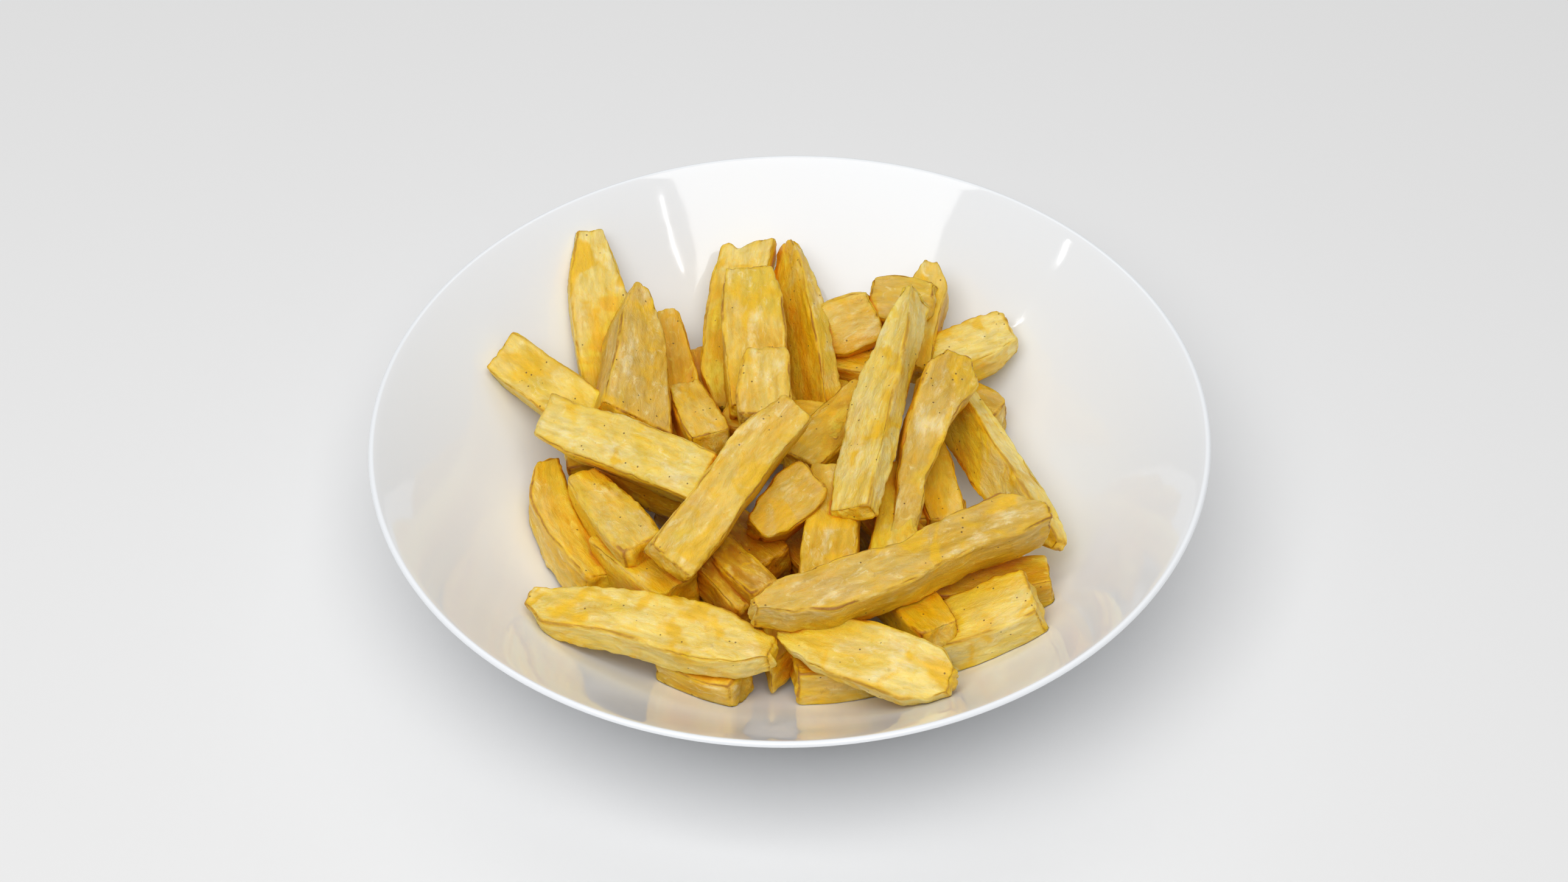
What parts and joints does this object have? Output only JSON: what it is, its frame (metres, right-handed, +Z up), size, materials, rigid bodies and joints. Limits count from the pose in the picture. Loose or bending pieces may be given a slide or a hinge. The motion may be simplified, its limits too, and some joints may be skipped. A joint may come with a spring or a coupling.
{
  "type": "french fries portion",
  "caption": "Portion of thick hand-cut french fries heaped in a deep round white plate with a sloping wall and a thin rounded lip.",
  "frame": {"origin": "on the table, under the middle of the plate", "axes": "+Z up out of the plate; the front of the portion, where the longest low fries lie, faces -Y; +X to its right"},
  "size_m": [0.2, 0.2, 0.0523],
  "materials": {
    "plate_glaze": "glossy white glaze",
    "fried_potato": "pale golden fried potato, satin with an uneven wrinkled skin"
  },
  "bodies": {
    "root": {"plate": "plate_glaze", "fries_heap": "fried_potato"}
  },
  "joints": []
}
